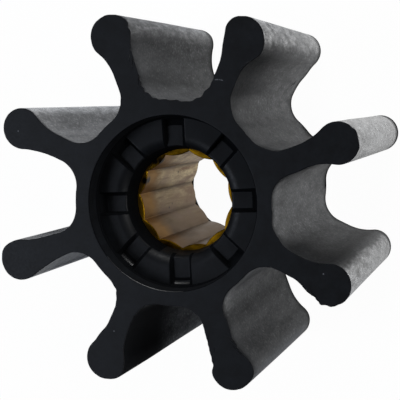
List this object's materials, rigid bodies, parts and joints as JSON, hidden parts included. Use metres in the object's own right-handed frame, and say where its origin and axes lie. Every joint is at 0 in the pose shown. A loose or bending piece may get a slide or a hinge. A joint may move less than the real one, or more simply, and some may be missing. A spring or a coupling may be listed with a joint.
{
  "type": "flexible pump impeller",
  "caption": "Rubber pump impeller: bulb-tipped flexible blades moulded with their hub round a brass bush with a splined bore.",
  "frame": {"origin": "on the bore axis, in the plane of the lower end, on which the impeller stands", "axes": "+Z along the bore axis, up; the gaps between blades lie on X and Y"},
  "size_m": [0.0606, 0.0606, 0.045],
  "materials": {
    "rubber": "matte moulded",
    "brass": "satin, slightly stained"
  },
  "bodies": {
    "root": {"rubber_body": "rubber", "splined_bush": "brass"}
  },
  "joints": []
}
